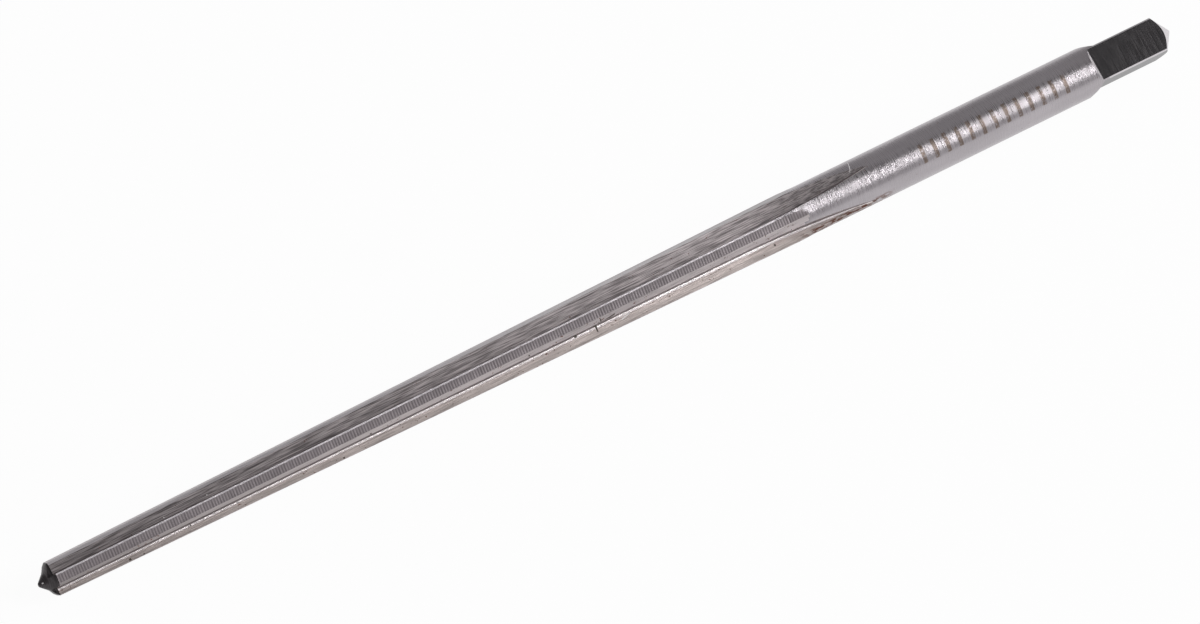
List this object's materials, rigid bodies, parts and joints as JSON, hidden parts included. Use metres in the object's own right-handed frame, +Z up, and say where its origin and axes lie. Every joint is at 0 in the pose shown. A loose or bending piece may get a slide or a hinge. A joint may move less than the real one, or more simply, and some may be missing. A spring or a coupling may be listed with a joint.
{
  "type": "hand reamer",
  "caption": "Small straight-flute hand reamer for taper-pin holes, with tapered teeth, a plain round shank and a driving square, lying as it rests on a table.",
  "frame": {"origin": "on the table, under the middle of the tool's bounding box", "axes": "+Z up; +X along the tool from its point to its driving square, seen from above. The tool's own axis lies in the XZ plane and rises 0.624 degrees towards +X, because the tool rests on its thin point and its thicker shank"},
  "size_m": [0.057, 0.0022, 0.0023],
  "materials": {
    "steel": "ground"
  },
  "bodies": {
    "root": {"reamer": "steel"}
  },
  "joints": []
}
